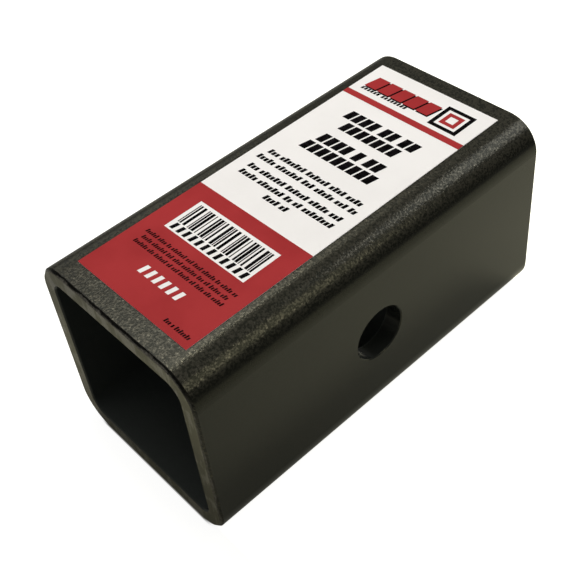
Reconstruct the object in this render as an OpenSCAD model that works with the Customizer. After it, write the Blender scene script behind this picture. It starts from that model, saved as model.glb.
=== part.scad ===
// Hitch reducer sleeve: a short length of thick square steel tube that slides into a
// hitch receiver and brings its bore down one size. One pin goes through both side
// walls. A printed vinyl label lies along the top face.
//
// X runs along the sleeve from the mouth to the inner end, Y runs along the pin hole
// and Z is up. The origin is where the pin's axis crosses the tube's centreline.

/* [Tube] */
// Outside width and height of the square tube
tube_w = 63.5; // [60:0.5:75]
// Length of the sleeve
tube_l = 127; // [125:1:200]
// Thickness of the wall
wall = 5.5; // [4:0.1:7]
// Outside radius of the four long corners
corner_r = 10; // [8:0.5:13]
// Edge break round the outside of each sawn end
rim_break = 0.8; // [0.2:0.1:1.5]
// Edge break round the bore at each sawn end
bore_break = 0.4; // [0.2:0.1:1]

/* [Pin hole] */
// Diameter of the pin hole
pin_hole_d = 16.8; // [14:0.1:20]
// Distance from the mouth end to the axis of the pin hole
pin_setback = 60.5; // [40:0.5:80]
// Edge break round the pin hole on the outside of each wall
pin_break = 0.3; // [0.1:0.1:0.8]

/* [Label] */
// Length of the label along the tube
label_l = 114; // [112:0.5:116]
// Width of the label across the top face
label_w = 44; // [40:0.5:48]
// Distance from the mouth end of the tube to the label
label_setback = 6.7; // [2:0.1:8]
// How far the label is turned from straight, in degrees
label_tilt = 0.4; // [-1:0.1:1]
// Thickness of the label's vinyl
label_t = 0.15; // [0.1:0.01:0.4]
// Thickness of a layer of ink
ink_t = 0.05; // [0.03:0.01:0.1]

/* [Red print] */
// Length of the red field at the label's foot
field_l = 41; // [40:0.5:44]
// Width of the stripe below the head of the label
stripe_w = 2.3; // [1:0.1:4]
// Distance from the stripe to the label's top edge
stripe_margin = 15.1; // [14:0.1:17]
// Width of the bare window for the bar pattern
window_w = 31.4; // [26:0.2:36]
// Height of that window
window_h = 12.8; // [11:0.1:13.5]
// Distance from the window to the top of the red field
window_margin = 5; // [3:0.1:6]
// Height of the row of bare blocks low on the red field
number_h = 3.1; // [2:0.1:4]
// Distance from one bare block to the next
number_pitch = 2.8; // [2.2:0.1:3.5]
// Distance from the label's foot to that row
number_rise = 8.2; // [5:0.1:9]
// Height of the title blocks at the head
title_h = 5.7; // [4:0.1:7]
// Distance from one title block to the next
title_pitch = 5; // [4:0.1:5]
// Distance from the label's top edge to the top of the title blocks
title_drop = 5.4; // [2:0.1:6]
// Distance from the label's left edge to the title blocks
title_margin = 2.9; // [2:0.1:3]
// How far the dark shade of the title blocks shows past them
title_shade = 0.5; // [0.2:0.1:0.5]

/* [Bar pattern] */
// Number of bars
bars_n = 26; // [20:1:34]
// Distance from the bars to the sides of the window
bars_side = 1.3; // [0.5:0.1:3]
// Distance from the bars to the top of the window
bars_margin = 1.1; // [0.5:0.1:1.5]
// Distance from the marks below the bars to the foot of the window
mark_margin = 0.6; // [0.4:0.1:1.5]
// Height of the marks
mark_h = 2.5; // [1:0.1:2.5]
// Distance from the bars to the marks
mark_drop = 0.4; // [0.2:0.1:1]

/* [Dark lines] */
// Height of the heavy lines of blocks
heavy_h = 4; // [2.5:0.1:4.2]
// Distance from one heavy block to the next
heavy_pitch = 3; // [2.4:0.1:3.8]
// Distance from the stripe to the foot of the first heavy line
heavy_drop = 9.4; // [6:0.1:10]
// Distance from one heavy line to the next in a pair
heavy_step = 5; // [4.5:0.1:5.4]
// Distance between the two pairs of heavy lines
pair_step = 7.6; // [6:0.1:8]
// Height of the small lines of blocks
small_h = 1.9; // [1:0.1:2.2]
// Distance from one small block to the next
small_pitch = 1.36; // [1:0.02:1.4]
// Distance from the red field to the foot of the lowest small line
small_rise = 6.5; // [3:0.1:8]
// Distance from one small line to the next
small_step = 3.3; // [2.5:0.1:3.6]
// Distance between the two groups of small lines
group_step = 4.4; // [3:0.1:5]
// Height of the fine lines of blocks
fine_h = 1.3; // [0.8:0.1:1.8]
// Distance from one fine block to the next
fine_pitch = 0.78; // [0.6:0.02:0.82]
// Distance from the window to the foot of the first fine line
fine_drop = 4.6; // [2.5:0.1:5]
// Distance from one fine line to the next
fine_step = 2.2; // [2:0.1:2.4]
// Distance from the label's foot and right edge to the short fine line
fine_margin = 2.1; // [1:0.1:3]
// Height of the line of blocks under the title
under_h = 1.2; // [0.8:0.1:1.4]
// Distance from one of its blocks to the next
under_pitch = 1.22; // [0.9:0.02:1.3]
// Distance from the title down to the foot of that line
under_drop = 1.8; // [1.6:0.1:2]

/* [Sign] */
// Width of the outer square ring at the head
ring_w = 10; // [8:0.2:10.6]
// Width of the inner square ring
inner_w = 5.4; // [4:0.2:6]
// Thickness of both rings
ring_t = 1.3; // [0.6:0.1:1.6]
// Distance from the label's right edge to the outer ring
ring_side = 4.6; // [3:0.1:5]
// Distance from the label's top edge to the outer ring
ring_drop = 3.5; // [2:0.1:4]

/* [Hidden] */
$fn = 96;
past = 1;

// Where the two ends of the tube and the middle of the label lie along X
mouth_x = -pin_setback;
back_x = mouth_x + tube_l;
label_x = mouth_x + label_setback + label_l / 2;

// Heights on the label, which is drawn upright with its middle at the origin
foot = -label_l / 2;
head = label_l / 2;
field_top = foot + field_l;
window_top = field_top - window_margin;
window_foot = window_top - window_h;
stripe_foot = head - stripe_margin - stripe_w;

// The bars and the marks below them fill the window inside their margins
bars_w = window_w - 2 * bars_side;
bars_h = window_h - bars_margin - mark_drop - mark_h - mark_margin;
mark_words = [1, 5, 5, 1];
mark_space = 0.54;
mark_gap = 0.5;
mark_pitch = bars_w / line_w(mark_words, [0, 1, mark_space, mark_gap]);

// Styles of the lines of blocks: height, pitch, space between words as a share of the
// pitch, gap between blocks as a share of the pitch, and the share of the height that
// every low block has
title_style = [title_h, title_pitch, 0, 0.13, 1];
heavy_style = [heavy_h, heavy_pitch, 0.66, 0.2, 1];
number_style = [number_h, number_pitch, 0.5, 0.48, 1];
mark_style = [mark_h, mark_pitch, mark_space, mark_gap, 1];
small_style = [small_h, small_pitch, 0.8, 0.22, 0.78];
under_style = [under_h, under_pitch, 0.9, 0.33, 1];
fine_style = [fine_h, fine_pitch, 0.95, 0.38, 0.72];

// The lines themselves: how many blocks each word has, from the highest line down
heavy_lines = [[4, 2, 2], [7], [4, 1, 2], [9]];
small_lines = [[3, 7, 6, 4, 4], [5, 7, 3, 5, 3, 2], [3, 7, 6, 5, 3], [5, 7, 2, 2, 8], [4, 2]];
fine_lines = [[6, 4, 2, 7, 3, 4, 6, 2, 5, 2], [5, 7, 3, 4, 7, 3, 2, 5, 3],
              [7, 3, 6, 2, 3, 5, 2, 4, 3, 5]];

// Outline of the tube's section, or of any square with round corners
module round_square(w, r) {
    square([w - 2 * r, w], center = true);
    square([w, w - 2 * r], center = true);
    for (sx = [-1, 1], sy = [-1, 1])
        translate([sx * (w / 2 - r), sy * (w / 2 - r)]) circle(r);
}

// A straight bar of that section from x0 to x1
module bar(w, r, x0, x1) {
    translate([x0, 0, 0]) rotate([90, 0, 90]) linear_extrude(x1 - x0) round_square(w, r);
}

// Half of a bar's outline along X: height h between x0 and x1, stepped in or out by
// flare at 45 degrees at both ends, and carried on by run beyond them
function end_points(h, x0, x1, flare, run) =
    [[x0 - run, 0], [x0 - run, h + flare], [x0, h + flare], [x0 + abs(flare), h],
     [x1 - abs(flare), h], [x1, h + flare], [x1 + run, h + flare], [x1 + run, 0]];

// A bar whose ends shrink (flare below zero) or open out (above zero)
module flared_bar(w, r, x0, x1, flare, run = 0) {
    for (turn = [0, 90])
        rotate([turn, 0, 0])
            translate([0, w / 2 - r, 0]) rotate([90, 0, 0]) linear_extrude(w - 2 * r)
                for (side = [0, 1])
                    mirror([0, side]) polygon(end_points(w / 2, x0, x1, flare, run));
    for (sy = [-1, 1], sz = [-1, 1])
        translate([0, sy * (w / 2 - r), sz * (w / 2 - r)])
            rotate([0, 90, 0]) rotate_extrude()
                polygon([for (p = end_points(r, x0, x1, flare, run)) [p[1], p[0]]]);
}

// The pin hole through both walls, with its edges broken on the outside
module pin_hole() {
    rotate([90, 0, 0]) cylinder(h = tube_w + 2 * past, d = pin_hole_d, center = true);
    for (side = [-1, 1])
        rotate([side * 90, 0, 0])
            translate([0, 0, tube_w / 2 - pin_break])
                cylinder(h = pin_break + past, d1 = pin_hole_d,
                         d2 = pin_hole_d + 2 * (pin_break + past));
}

// The sleeve itself: one piece of square tube, open at both ends
module sleeve() {
    color("#3b3c38") difference() {
        flared_bar(tube_w, corner_r, mouth_x, back_x, -rim_break);
        flared_bar(tube_w - 2 * wall, corner_r - wall, mouth_x, back_x, bore_break, past);
        pin_hole();
    }
}

// A layer over the top of the tube, from height low to height high above its face, cut
// to an outline that is drawn on the upright label. Where the outline is wider than the
// flat, the layer bends down with the tube's round corners.
module layer(low, high) {
    intersection() {
        difference() {
            bar(tube_w + 2 * high, corner_r + high, mouth_x, back_x);
            bar(tube_w + 2 * low, corner_r + low, mouth_x - past, back_x + past);
        }
        translate([label_x, 0, 0]) rotate([0, 0, label_tilt - 90])
            linear_extrude(tube_w) children();
    }
}

// The label: one thin sheet of white vinyl
module label() {
    color("#f1eee9") layer(0, label_t) square([label_w, label_l], center = true);
}

// One slanted block of print, standing on its foot
lean = 0.2;
module block(w, h) {
    polygon([[0, 0], [w, 0], [w + lean * h, h], [lean * h, h]]);
}

// How far word number n starts from the beginning of its line, and how long a line is
function sum(v, n = undef, i = 0) =
    i >= (is_undef(n) ? len(v) : n) ? 0 : v[i] + sum(v, n, i + 1);
function word_start(words, n, style) = style[1] * (sum(words, n) + n * (style[2] - style[3]));
function line_w(words, style) = word_start(words, len(words), style) - style[1] * style[2];

// A line of words made of plain blocks, some of them lower than others. It is centred
// on x = 0, or starts there.
module block_line(words, style, centred = true) {
    start = centred ? -line_w(words, style) / 2 : 0;
    for (n = [0 : len(words) - 1], k = [0 : words[n] - 1])
        translate([start + word_start(words, n, style) + k * style[1], 0])
            block(style[1] * (1 - style[3]), style[0] * ((3 * n + 2 * k) % 5 < 2 ? 1 : style[4]));
}

// A square ring of the sign at the head: one tube's end inside another's
module sign_ring(w) {
    translate([label_w / 2 - ring_side - ring_w / 2, head - ring_drop - ring_w / 2])
        difference() {
            square(w, center = true);
            square(w - 2 * ring_t, center = true);
        }
}

// The slanted title blocks at the head
module title_blocks() {
    translate([title_margin - label_w / 2, head - title_drop - title_h])
        block_line([5], title_style, false);
}

// The red print: the foot field with its window and its bare blocks, the stripe, and
// the title blocks and the inner ring at the head
module label_red_print() {
    color("#a52d33") layer(label_t, label_t + ink_t) {
        difference() {
            translate([-label_w / 2, foot]) square([label_w, field_l]);
            translate([-window_w / 2, window_foot]) square([window_w, window_h]);
            translate([0, foot + number_rise]) block_line([1, 5], number_style);
        }
        translate([-label_w / 2, stripe_foot]) square([label_w, stripe_w]);
        title_blocks();
        sign_ring(inner_w);
    }
}

// The bar pattern: bars of one to four units and gaps of one to three, by a plain rule
function bar_units(n) = (5 * n + floor(n / 3)) % 4 + 1;
function gap_units(n) = (n + 2 * floor(n / 4)) % 3 + 1;
function units_before(n) = n < 1 ? 0 : bar_units(n - 1) + gap_units(n - 1) + units_before(n - 1);
module bar_pattern() {
    unit_w = bars_w / (units_before(bars_n) - gap_units(bars_n - 1));
    for (n = [0 : bars_n - 1])
        translate([units_before(n) * unit_w - bars_w / 2, window_top - bars_margin - bars_h])
            square([bar_units(n) * unit_w, bars_h]);
}

// Four heavy lines in two pairs, below the stripe
module heavy_block_lines() {
    for (n = [0 : len(heavy_lines) - 1])
        translate([0, stripe_foot - heavy_drop - n * heavy_step
                      - floor(n / 2) * (pair_step - heavy_step)])
            block_line(heavy_lines[n], heavy_style);
}

// Five small lines, in a group of two above a group of three
module small_block_lines() {
    for (n = [0 : len(small_lines) - 1])
        translate([0, field_top + small_rise + (4 - n) * small_step
                      + (n < 2 ? group_step - small_step : 0)])
            block_line(small_lines[n], small_style);
}

// Three fine lines between the window and the bare blocks, and a short one at the foot
module fine_block_lines() {
    for (n = [0 : len(fine_lines) - 1])
        translate([0, window_foot - fine_drop - n * fine_step])
            block_line(fine_lines[n], fine_style);
    translate([label_w / 2 - fine_margin - line_w([3, 1, 7], fine_style), foot + fine_margin])
        block_line([3, 1, 7], fine_style, false);
}

// The dark print: most of it on the white vinyl, and the fine lines over the red field
module label_dark_print() {
    color("#1d1b1c") {
        layer(label_t, label_t + ink_t) {
            bar_pattern();
            translate([0, window_foot + mark_margin]) block_line(mark_words, mark_style);
            heavy_block_lines();
            small_block_lines();
            difference() {
                translate([title_shade, -title_shade]) title_blocks();
                title_blocks();
            }
            translate([title_margin - label_w / 2, head - title_drop - title_h - under_drop])
                block_line([6, 8], under_style, false);
            sign_ring(ring_w);
        }
        layer(label_t + ink_t, label_t + 2 * ink_t) fine_block_lines();
    }
}

sleeve();
label();
label_red_print();
label_dark_print();
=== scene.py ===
import math

import bpy
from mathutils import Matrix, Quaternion, Vector


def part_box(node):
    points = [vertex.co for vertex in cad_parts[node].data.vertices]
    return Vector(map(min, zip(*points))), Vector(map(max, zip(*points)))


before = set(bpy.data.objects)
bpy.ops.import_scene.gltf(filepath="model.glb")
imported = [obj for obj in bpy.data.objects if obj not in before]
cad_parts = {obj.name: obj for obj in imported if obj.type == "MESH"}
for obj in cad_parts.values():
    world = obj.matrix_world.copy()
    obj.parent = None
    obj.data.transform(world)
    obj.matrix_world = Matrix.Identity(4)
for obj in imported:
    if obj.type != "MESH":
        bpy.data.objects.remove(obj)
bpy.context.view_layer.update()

scene = bpy.context.scene
scene.view_settings.view_transform = "Standard"
bpy.ops.object.select_all(action="DESELECT")
print("frame loaded:", sorted(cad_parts))

# The camera, fitted to the photo's outline, in metres
view = {
    "place": (-0.1273, -0.1588, 0.2046),
    "aim": (0.00996, 0.01473, 0.0),
    "roll": math.radians(-6.94),
    "lens": 62.1,
    "sensor": 36,
    "shiftY": -0.0931,
    "nearest": 0.01,
}


def addCamera():
    bpy.ops.object.camera_add(location=view["place"])
    camera = bpy.context.object
    camera.name = "photoCamera"
    along = Vector(view["aim"]) - Vector(view["place"])
    camera.rotation_mode = "QUATERNION"
    camera.rotation_quaternion = along.to_track_quat("-Z", "Y") @ Quaternion((0, 0, 1), view["roll"])
    camera.data.lens = view["lens"]
    camera.data.sensor_width = view["sensor"]
    camera.data.shift_y = view["shiftY"]
    camera.data.clip_start = view["nearest"]
    scene.camera = camera


addCamera()
print("camera set")

# The tube's ends and half width, read off the frame, then its wall and its pin hole
tubeLow, tubeHigh = (Vector(corner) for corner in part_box("sleeve"))
halfWidth = tubeHigh.y
wall = 0.0055
holeRadius = 0.0084


def newMaterial(name):
    material = bpy.data.materials.new(name)
    material.use_nodes = True
    material.node_tree.nodes.clear()
    return material, material.node_tree


def addNode(tree, kind, place, **values):
    node = tree.nodes.new(kind)
    node.location = place
    for key, value in values.items():
        setattr(node, key, value)
    return node


# A number or a colour is written into the socket, and an output is linked to it
def setInput(tree, socket, value):
    if isinstance(value, (int, float)):
        socket.default_value = value
    elif isinstance(value, tuple):
        socket.default_value = (*value, 1)
    else:
        tree.links.new(value, socket)


def mathNode(tree, place, operation, *values):
    node = addNode(tree, "ShaderNodeMath", place, operation=operation)
    for socket, value in zip(node.inputs, values):
        setInput(tree, socket, value)
    return node.outputs[0]


# Goes smoothly from the first level to the second as the value crosses the span
def fadeNode(tree, place, value, span, levels=(0, 1)):
    node = addNode(tree, "ShaderNodeMapRange", place, clamp=True, interpolation_type="SMOOTHSTEP")
    tree.links.new(value, node.inputs["Value"])
    node.inputs["From Min"].default_value, node.inputs["From Max"].default_value = span
    node.inputs["To Min"].default_value, node.inputs["To Max"].default_value = levels
    return node.outputs["Result"]


def mixColour(tree, place, share, first, second):
    node = addNode(tree, "ShaderNodeMix", place, data_type="RGBA")
    for index, value in ((0, share), (6, first), (7, second)):
        setInput(tree, node.inputs[index], value)
    return node.outputs[2]


def mixNumber(tree, place, share, first, second):
    node = addNode(tree, "ShaderNodeMix", place, data_type="FLOAT")
    for index, value in ((0, share), (2, first), (3, second)):
        setInput(tree, node.inputs[index], value)
    return node.outputs[0]


def noiseNode(tree, place, where, scale, detail, roughness=0.5):
    node = addNode(tree, "ShaderNodeTexNoise", place)
    tree.links.new(where, node.inputs["Vector"])
    setInput(tree, node.inputs["Scale"], scale)
    node.inputs["Detail"].default_value = detail
    node.inputs["Roughness"].default_value = roughness
    return node.outputs["Fac"]


def cellNode(tree, place, where, scale, feature):
    node = addNode(tree, "ShaderNodeTexVoronoi", place, feature=feature)
    tree.links.new(where, node.inputs["Vector"])
    setInput(tree, node.inputs["Scale"], scale)
    return node


def splitNode(tree, place, vector):
    node = addNode(tree, "ShaderNodeSeparateXYZ", place)
    tree.links.new(vector, node.inputs[0])
    return node.outputs


def addBump(tree, place, height, distance):
    bump = addNode(tree, "ShaderNodeBump", place)
    bump.inputs["Strength"].default_value = 1
    bump.inputs["Distance"].default_value = distance
    tree.links.new(height, bump.inputs["Height"])
    return bump.outputs["Normal"]


def finishWith(tree, shader):
    output = addNode(tree, "ShaderNodeOutputMaterial", (300, 0))
    tree.links.new(shader.outputs[0], output.inputs["Surface"])


# Grain: small leathery lumps, and flakes that sit in some cells of the same size. The coat has
# it at full strength, and it shows faintly through the thin vinyl.
grainShape = {
    "lumpDetail": 2.5,
    "lumpRoughness": 0.65,
    "dimpleSmoothness": 0.4,
    "dimpleHeight": -0.5,
    "flakeChance": (0.4, 1),
    "flakeCore": (0.25, 0.65),
    "flakeShare": 0.5,
    "patchSpan": (0.44, 0.6),
    "patchShare": 0.5,
}


def makeGrainGroup():
    group = bpy.data.node_groups.new("coatGrain", "ShaderNodeTree")
    group.interface.new_socket("Scale", in_out="INPUT", socket_type="NodeSocketFloat")
    group.interface.new_socket("Height", in_out="OUTPUT", socket_type="NodeSocketFloat")
    group.interface.new_socket("Flake", in_out="OUTPUT", socket_type="NodeSocketFloat")
    scale = addNode(group, "NodeGroupInput", (-900, 0)).outputs["Scale"]
    where = addNode(group, "ShaderNodeTexCoord", (-900, 200)).outputs["Object"]

    lumps = noiseNode(group, (-600, 200), where, scale, grainShape["lumpDetail"], grainShape["lumpRoughness"])
    dimples = cellNode(group, (-600, -100), where, scale, "SMOOTH_F1")
    dimples.inputs["Smoothness"].default_value = grainShape["dimpleSmoothness"]
    height = mathNode(group, (-300, 100), "MULTIPLY_ADD", dimples.outputs["Distance"],
                      grainShape["dimpleHeight"], lumps)

    cells = cellNode(group, (-600, -400), where, scale, "F1")
    chance = addNode(group, "ShaderNodeSeparateColor", (-400, -400))
    group.links.new(cells.outputs["Color"], chance.inputs[0])
    picked = fadeNode(group, (-300, -300), chance.outputs["Red"], grainShape["flakeChance"])
    core = fadeNode(group, (-300, -500), cells.outputs["Distance"], grainShape["flakeCore"], (1, 0))
    single = mathNode(group, (-150, -400), "MULTIPLY", picked, core)
    patch = fadeNode(group, (-300, -100), lumps, grainShape["patchSpan"], (0, grainShape["patchShare"]))
    flake = mathNode(group, (-150, -200), "MULTIPLY_ADD", single, grainShape["flakeShare"], patch)

    end = addNode(group, "NodeGroupOutput", (0, 0))
    group.links.new(height, end.inputs["Height"])
    group.links.new(flake, end.inputs["Flake"])
    return group


def addGrain(tree, place, group, scale):
    node = addNode(tree, "ShaderNodeGroup", place, node_tree=group)
    node.inputs["Scale"].default_value = scale
    return node


# The sleeve: powder coat over the outside, a lighter tone in the bore that is painted light, and brownish
# sawn ends whose tone is painted reflection.
# Lengths are in metres, and a facing span says how squarely a face looks that way.
coat = {
    "colour": (0.0068, 0.007, 0.0048),
    "flakeColour": (0.09, 0.085, 0.065),
    # the sides' own copy of the coat colour is a painted reflection tint
    "sideReflectionTint": (0.0066, 0.0072, 0.0054),
    # the bore's lighter tone is painted light inside the bore
    "borePaintedLightColour": (0.034, 0.038, 0.035),
    "holePaintedLightShare": 0.4,  # share of the bore's lighter tone on the pin hole's wall, painted light there
    "roughness": 0.16,
    "pitRoughness": 0.24,
    "pitSpan": (0, 0.3),
    "specular": 0.22,
    "specularTint": (1, 1, 0.8),
    "grainScale": 1500,
    "bump": 0.000042,
    "smoothFlake": 0.9,  # share of the flakes that the sides and the sawn ends lack
    "smoothBump": 0.8,  # share of the bump that they lack
    "endFacing": (0.75, 0.95),
    "endDepth": (0.001, 0.002),
    "sideFacing": (0.76, 0.94),
    "topFacing": (0.3, 0.6),
    "boreSkin": (0.0001, 0.0006),
    "holeSkin": (0.0001, 0.0003),
    # painted shade: the dark line along the top's ends; painted highlight: the light band outside it
    "edgeShadeColour": (0.0025, 0.0025, 0.0022),
    "edgeHighlightColour": (0.085, 0.08, 0.068),
    "edgeWidth": 0.00085,
    "edgeHighlightWidth": 0.00028,
    "edgeSoftness": (-0.0001, 0.0002),
    "edgeRagged": 0.0012,
    "edgeNoise": (260, 5),
    # the sawn ends, whose brownish tone is painted reflection
    "sawnReflectionColour": (0.115, 0.096, 0.058),
    "sawnReflectionDark": (0.062, 0.052, 0.034),
    "sawnSpan": (0.66, 0.84),
    "sawnRoughness": (0.12, 0.24),
    "sawnGloss": (0.1, 0.75),
    "sawnMetal": 0.7,
    "streakStretch": (1, 1, 0.12),
    "streakNoise": (900, 2),
    "streakShare": 0.5,
    "blotchNoise": (160, 3),
}


# Masks for the sleeve's ends, sides, top, bore and pin hole, and the way in from the nearer end
def findSleeveParts(tree, where):
    spot = splitNode(tree, (-1600, 200), where.outputs["Object"])
    facing = splitNode(tree, (-1600, -100), where.outputs["Normal"])
    middle, halfLength = (tubeLow.x + tubeHigh.x) / 2, (tubeHigh.x - tubeLow.x) / 2
    lengthwise = mathNode(tree, (-1400, 600), "SUBTRACT", spot["X"], middle)
    fromMiddle = mathNode(tree, (-1300, 600), "ABSOLUTE", lengthwise)
    fromEnd = mathNode(tree, (-1200, 600), "SUBTRACT", halfLength, fromMiddle)

    facesEnd = mathNode(tree, (-1400, 150), "ABSOLUTE", facing["X"])
    facesSide = mathNode(tree, (-1400, 0), "ABSOLUTE", facing["Y"])
    endwise = fadeNode(tree, (-1200, 150), facesEnd, coat["endFacing"])
    nearEnd = fadeNode(tree, (-1200, 50), fromEnd, coat["endDepth"], (1, 0))
    across = mathNode(tree, (-1400, 350), "ABSOLUTE", spot["Y"])
    upward = mathNode(tree, (-1400, 250), "ABSOLUTE", spot["Z"])
    reach = mathNode(tree, (-1200, 300), "MAXIMUM", across, upward)
    boreSpan = [halfWidth - wall + skin for skin in coat["boreSkin"]]

    flatten = addNode(tree, "ShaderNodeVectorMath", (-1400, 450), operation="MULTIPLY")
    flatten.inputs[1].default_value = (1, 0, 1)
    tree.links.new(where.outputs["Object"], flatten.inputs[0])
    fromHole = addNode(tree, "ShaderNodeVectorMath", (-1200, 450), operation="LENGTH")
    tree.links.new(flatten.outputs[0], fromHole.inputs[0])
    holeSpan = [holeRadius + skin for skin in coat["holeSkin"]]
    return {
        "fromEnd": fromEnd,
        "ends": mathNode(tree, (-1000, 100), "MULTIPLY", endwise, nearEnd),
        "sides": fadeNode(tree, (-1200, 0), facesSide, coat["sideFacing"]),
        "top": fadeNode(tree, (-800, 450), facing["Z"], coat["topFacing"]),
        "pastBore": fadeNode(tree, (-1000, 300), reach, boreSpan),
        "pastHole": fadeNode(tree, (-1000, 450), fromHole.outputs["Value"], holeSpan),
    }


# Painted shade: a ragged dark line where the top meets the sawn ends; painted highlight: a light band at the
# very edge
def addEdgeShadeAndHighlight(tree, where, parts, colour):
    ragged = coat["edgeRagged"]
    wander = noiseNode(tree, (-1600, 500), where.outputs["Object"], *coat["edgeNoise"])
    shift = mathNode(tree, (-1200, 500), "MULTIPLY_ADD", wander, ragged, -ragged / 2)
    fromLine = mathNode(tree, (-1000, 550), "ADD", parts["fromEnd"], shift)
    lineSpan = [coat["edgeWidth"] + softness for softness in coat["edgeSoftness"]]
    edgeHighlightSpan = [coat["edgeHighlightWidth"] + softness for softness in coat["edgeSoftness"]]
    inLine = fadeNode(tree, (-800, 550), fromLine, lineSpan, (1, 0))
    edge = mathNode(tree, (-600, 500), "MULTIPLY", inLine, parts["top"])
    edgeHighlight = fadeNode(tree, (-800, 650), fromLine, edgeHighlightSpan, (1, 0))
    edgeShaded = mixColour(tree, (-500, 150), edge, colour, coat["edgeShadeColour"])
    return mixColour(tree, (-450, 250), edgeHighlight, edgeShaded, coat["edgeHighlightColour"])


# Streaks down the cut and broad blotches, from 0 where the sawn face is dark to 1
def addSawnTone(tree, where):
    stretch = addNode(tree, "ShaderNodeMapping", (-1600, -700))
    stretch.inputs["Scale"].default_value = coat["streakStretch"]
    tree.links.new(where.outputs["Object"], stretch.inputs["Vector"])
    streaks = noiseNode(tree, (-1400, -700), stretch.outputs[0], *coat["streakNoise"])
    blotch = noiseNode(tree, (-1400, -900), where.outputs["Object"], *coat["blotchNoise"])
    mottle = mathNode(tree, (-1200, -800), "MULTIPLY_ADD", streaks, coat["streakShare"], blotch)
    return fadeNode(tree, (-1000, -800), mottle, coat["sawnSpan"])


def makePowderCoat(grainGroup):
    material, tree = newMaterial("powderCoat")
    where = addNode(tree, "ShaderNodeTexCoord", (-1800, 0))
    grain = addGrain(tree, (-1600, -400), grainGroup, coat["grainScale"])
    parts = findSleeveParts(tree, where)
    ends = parts["ends"]
    sawnTone = addSawnTone(tree, where)

    # flakes lie on the outside, apart from the smooth sides and sawn ends
    smooth = mathNode(tree, (-1000, -200), "MAXIMUM", ends, parts["sides"])
    outside = mathNode(tree, (-800, 350), "MULTIPLY", parts["pastBore"], parts["pastHole"])
    grainy = mathNode(tree, (-800, -300), "MULTIPLY_ADD", smooth, -coat["smoothFlake"], outside)
    flake = mathNode(tree, (-800, -200), "MULTIPLY", grain.outputs["Flake"], grainy)

    # the sides get a slightly greener copy of the coat colour, a painted reflection tint
    plain = mixColour(tree, (-800, 0), parts["sides"], coat["colour"], coat["sideReflectionTint"])
    outer = mixColour(tree, (-600, 0), flake, plain, coat["flakeColour"])
    # painted shade along the top's ends, and a painted highlight at the very edge
    lined = addEdgeShadeAndHighlight(tree, where, parts, outer)
    # the pin hole's wall gets a share of the bore's lighter tone, painted light on the wall
    holeTone = mathNode(tree, (-900, 250), "MULTIPLY_ADD", parts["pastHole"], coat["holePaintedLightShare"],
                        1 - coat["holePaintedLightShare"])
    painted = mathNode(tree, (-800, 250), "MULTIPLY", parts["pastBore"], holeTone)
    # inside the bore the coat gives way to a lighter tone, painted light
    coated = mixColour(tree, (-400, 100), painted, coat["borePaintedLightColour"], lined)
    # the brownish tone on the sawn ends is painted reflection, mottled by streaks and blotches
    sawn = mixColour(tree, (-800, -700), sawnTone, coat["sawnReflectionDark"], coat["sawnReflectionColour"])
    colour = mixColour(tree, (-200, 100), ends, coated, sawn)

    pitLevels = (coat["pitRoughness"], coat["roughness"])
    pits = fadeNode(tree, (-600, -650), grain.outputs["Flake"], coat["pitSpan"], pitLevels)
    plainRough = mixNumber(tree, (-500, -550), smooth, pits, coat["roughness"])
    sawnRough = fadeNode(tree, (-600, -550), sawnTone, (0, 1), coat["sawnRoughness"])
    rough = mixNumber(tree, (-400, -200), ends, plainRough, sawnRough)
    sawnGloss = fadeNode(tree, (-600, -750), sawnTone, (0, 1), coat["sawnGloss"])
    gloss = mathNode(tree, (-400, -700), "MULTIPLY", ends, sawnGloss)
    metal = mathNode(tree, (-300, -100), "MULTIPLY_ADD", ends, coat["sawnMetal"], flake)
    lumpShare = mathNode(tree, (-800, -400), "MULTIPLY_ADD", smooth, -coat["smoothBump"], 1.0)
    lumpHeight = mathNode(tree, (-600, -400), "MULTIPLY", grain.outputs["Height"], lumpShare)

    shader = addNode(tree, "ShaderNodeBsdfPrincipled", (0, 0))
    shader.inputs["Coat Roughness"].default_value = coat["roughness"]
    shader.inputs["Specular IOR Level"].default_value = coat["specular"]
    shader.inputs["Specular Tint"].default_value = (*coat["specularTint"], 1)
    tree.links.new(colour, shader.inputs["Base Color"])
    tree.links.new(rough, shader.inputs["Roughness"])
    tree.links.new(metal, shader.inputs["Metallic"])
    tree.links.new(gloss, shader.inputs["Coat Weight"])
    tree.links.new(addBump(tree, (-300, -400), lumpHeight, coat["bump"]), shader.inputs["Normal"])
    finishWith(tree, shader)
    return material


# Label: white vinyl and two inks, each a little uneven
inks = {
    "label": {
        "name": "whiteVinyl", "colour": (0.81, 0.795, 0.785), "shade": (0.785, 0.77, 0.76),
        "roughness": 0.5, "specular": 0.06, "scale": 70,
    },
    "label_red_print": {
        "name": "redInk", "colour": (0.345, 0.029, 0.031), "shade": (0.3, 0.023, 0.025),
        "roughness": 0.5, "specular": 0.04, "scale": 60,
    },
    "label_dark_print": {
        "name": "blackInk", "colour": (0.002, 0.0018, 0.002), "shade": (0.009, 0.008, 0.009),
        "roughness": 0.55, "specular": 0.0, "scale": 900,
    },
}
vinyl = {"bump": 0.00002, "shadeDetail": 4, "shadeSpan": (0.35, 0.7)}


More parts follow.
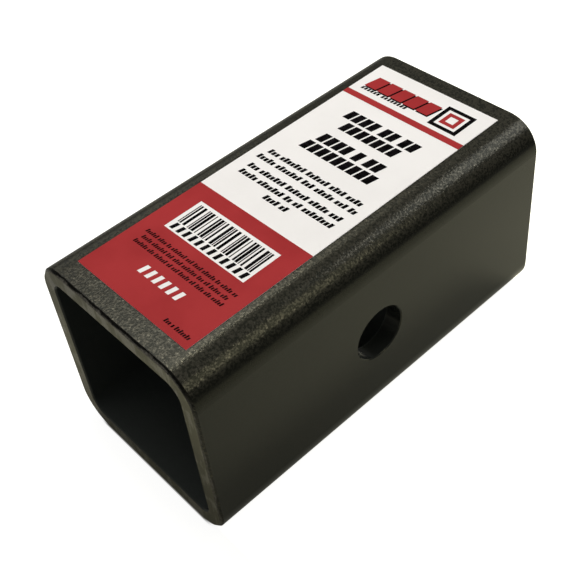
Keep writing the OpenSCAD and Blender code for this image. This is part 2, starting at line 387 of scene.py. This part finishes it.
def makeInk(values, grainGroup):
    material, tree = newMaterial(values["name"])
    where = addNode(tree, "ShaderNodeTexCoord", (-900, 0)).outputs["Object"]
    patch = noiseNode(tree, (-700, 0), where, values["scale"], vinyl["shadeDetail"])
    tone = fadeNode(tree, (-500, 0), patch, vinyl["shadeSpan"])
    colour = mixColour(tree, (-250, 0), tone, values["colour"], values["shade"])
    grain = addGrain(tree, (-700, -300), grainGroup, coat["grainScale"])

    shader = addNode(tree, "ShaderNodeBsdfPrincipled", (0, 0))
    shader.inputs["Roughness"].default_value = values["roughness"]
    shader.inputs["Specular IOR Level"].default_value = values["specular"]
    tree.links.new(colour, shader.inputs["Base Color"])
    normal = addBump(tree, (-250, -300), grain.outputs["Height"], vinyl["bump"])
    tree.links.new(normal, shader.inputs["Normal"])
    finishWith(tree, shader)
    return material


def setFinish(nodeName, material):
    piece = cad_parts[nodeName]
    piece.data.materials.clear()
    piece.data.materials.append(material)


coatGrain = makeGrainGroup()
setFinish("sleeve", makePowderCoat(coatGrain))
for nodeName, values in inks.items():
    setFinish(nodeName, makeInk(values, coatGrain))
print("finishes set")


# Floor, lamps and world. The paper is bright round the object, a painted pool of light, and falls off further
# out, where only the camera still sees it white. A painted shadow darkens the paper in front of the near end,
# and it has no glow for the camera in the gap under that end's broken edge, which leaves a painted dark
# contact line.
studio = {
    "floorSize": 8.0,
    "paper": (0.775, 0.765, 0.6),
    "farPaper": (0.22, 0.22, 0.22),
    "glow": 0.07,
    "cameraGlow": (0.82, 0.95),
    "paintedPoolCentre": (0.1, -0.1, 0),
    "paintedPoolSpan": (0.07, 0.29),
    "contactReach": 0.018,
    "paintedShadowDark": 0.65,
    "contactStart": (-0.0012, -0.0006),
    "contactAside": (0.035, 0.065),
    "gapAside": (0.022, 0.026),
    "gapFront": (-0.0002, 0.0004),
    "gapBack": (-0.003, -0.002),
    "horizon": 0.1,
    "ceiling": 0.35,
    "skySpan": (0.1, 0.8),
}


# Painted shadow: how dark the paper is painted in front of the near end, and how much of its glow the camera
# sees, with none in the gap under that end so a dark contact line shows
def addPaintedContactShadow(tree, where):
    spot = splitNode(tree, (-1200, -600), where)
    inFront = mathNode(tree, (-1000, -600), "SUBTRACT", tubeLow.x, spot["X"])
    aside = mathNode(tree, (-1000, -800), "ABSOLUTE", spot["Y"])
    started = fadeNode(tree, (-800, -500), inFront, studio["contactStart"])
    reached = fadeNode(tree, (-800, -600), inFront, (0, studio["contactReach"]), (1, 0))
    shade = mathNode(tree, (-600, -600), "MULTIPLY", started, reached)
    narrow = fadeNode(tree, (-800, -700), aside, studio["contactAside"], (studio["paintedShadowDark"], 0))
    paintedShadow = mathNode(tree, (-400, -600), "MULTIPLY", shade, narrow)

    besideGap = fadeNode(tree, (-800, -850), aside, studio["gapAside"], (1, 0))
    beforeGap = fadeNode(tree, (-800, -1000), inFront, studio["gapFront"], (1, 0))
    gap = mathNode(tree, (-600, -850), "MULTIPLY", besideGap, beforeGap)
    insideGap = fadeNode(tree, (-800, -1150), inFront, studio["gapBack"], (0, -1))
    clear = mathNode(tree, (-400, -850), "MULTIPLY_ADD", gap, insideGap, 1.0)
    return paintedShadow, clear


def addFloor():
    bpy.ops.mesh.primitive_plane_add(size=studio["floorSize"], location=(0, 0, tubeLow.z))
    floor = bpy.context.object
    floor.name = "floor"
    material, tree = newMaterial("whiteFloor")
    where = addNode(tree, "ShaderNodeTexCoord", (-1200, 300)).outputs["Object"]
    reach = addNode(tree, "ShaderNodeVectorMath", (-1000, 300), operation="DISTANCE")
    tree.links.new(where, reach.inputs[0])
    reach.inputs[1].default_value = studio["paintedPoolCentre"]
    fade = (reach.outputs["Value"], studio["paintedPoolSpan"])
    paintedShadow, clear = addPaintedContactShadow(tree, where)

    paths = addNode(tree, "ShaderNodeLightPath", (-1200, -100)).outputs
    mirrored = mathNode(tree, (-1000, -100), "MAXIMUM", paths["Is Glossy Ray"], paths["Is Transmission Ray"])
    shown = mathNode(tree, (-800, -100), "MAXIMUM", mirrored, paths["Is Camera Ray"])
    nearGlow = fadeNode(tree, (-800, 100), *fade, (studio["glow"], 0))
    shownGlow = mathNode(tree, (-600, -100), "MULTIPLY", shown, nearGlow)
    cameraGlow = fadeNode(tree, (-800, -300), *fade, studio["cameraGlow"])
    # the camera glow is cut in the gap under the near end, leaving a painted dark contact line
    seenGlow = mathNode(tree, (-600, -300), "MULTIPLY", cameraGlow, clear)
    glow = addNode(tree, "ShaderNodeEmission", (-200, -150))
    level = mathNode(tree, (-400, -150), "MULTIPLY_ADD", paths["Is Camera Ray"], seenGlow, shownGlow)
    tree.links.new(level, glow.inputs["Strength"])

    paper = addNode(tree, "ShaderNodeBsdfDiffuse", (-200, 100))
    # the paper's brighter tone round the object is a painted pool of light
    farShare = fadeNode(tree, (-600, 300), *fade)
    tone = mixColour(tree, (-400, 300), farShare, studio["paper"], studio["farPaper"])
    # the paper is painted darker in front of the near end, a painted shadow
    tree.links.new(mixColour(tree, (-300, 200), paintedShadow, tone, (0, 0, 0)), paper.inputs["Color"])
    both = addNode(tree, "ShaderNodeAddShader", (0, 0))
    tree.links.new(paper.outputs[0], both.inputs[0])
    tree.links.new(glow.outputs[0], both.inputs[1])
    finishWith(tree, both)
    floor.data.materials.append(material)


lamps = {
    "ceilingPanel": {
        "place": (0.12, 0.565, 1.0), "aim": (0.12, 0.565, 0), "size": (0.7, 0.77),
        "power": 4.65, "colour": (1, 0.98, 0.98),
    },
    "ceilingCore": {
        "place": (0.25, 0.272, 1.0), "aim": (0.25, 0.272, 0), "size": (0.3, 0.21),
        "power": 3.8, "colour": (1, 0.97, 0.86),
    },
    "ceilingFill": {
        "place": (-0.35, 0.2, 1.0), "aim": (-0.35, 0.2, 0), "size": (0.3, 0.3),
        "power": 0.9, "colour": (1, 0.97, 0.95),
    },
    "ceilingSide": {
        "place": (0.57, 0.335, 1.0), "aim": (0.57, 0.335, 0), "size": (0.26, 0.35),
        "power": 0.4, "colour": (1, 0.97, 0.9),
    },
    "rightBox": {
        "place": (0.67, -0.31, 0.69), "aim": (0, 0, 0), "size": (0.4, 0.34),
        "power": 1.4, "colour": (1, 1.01, 1.08),
    },
    "warmBox": {
        "place": (0.31, -0.73, 0.59), "aim": (0, 0, 0), "size": (0.36, 0.36),
        "power": 0.78, "colour": (1, 0.96, 0.75),
    },
    "backBox": {
        "place": (0.3, 1.0, 0.48), "aim": (0, 0, 0), "size": (0.5, 0.5),
        "power": 0.36, "colour": (0.97, 1, 1),
    },
}


def addLamp(name, values):
    bpy.ops.object.light_add(type="AREA", location=values["place"])
    lamp = bpy.context.object
    lamp.name = name
    along = Vector(values["aim"]) - Vector(values["place"])
    lamp.rotation_euler = along.to_track_quat("-Z", "Y").to_euler()
    lamp.data.shape = "RECTANGLE"
    lamp.data.size, lamp.data.size_y = values["size"]
    lamp.data.energy = values["power"]
    lamp.data.color = values["colour"]


def setWorld():
    world = bpy.data.worlds.new("softRoom")
    scene.world = world
    world.use_nodes = True
    tree = world.node_tree
    where = addNode(tree, "ShaderNodeTexCoord", (-900, 0)).outputs["Generated"]
    upward = splitNode(tree, (-700, 0), where)["Z"]
    back = tree.nodes["Background"]
    back.inputs["Color"].default_value = (1, 1, 1, 1)
    level = fadeNode(tree, (-400, 0), upward, studio["skySpan"], (studio["horizon"], studio["ceiling"]))
    tree.links.new(level, back.inputs["Strength"])


addFloor()
for lampName, values in lamps.items():
    addLamp(lampName, values)
setWorld()
print("studio set")
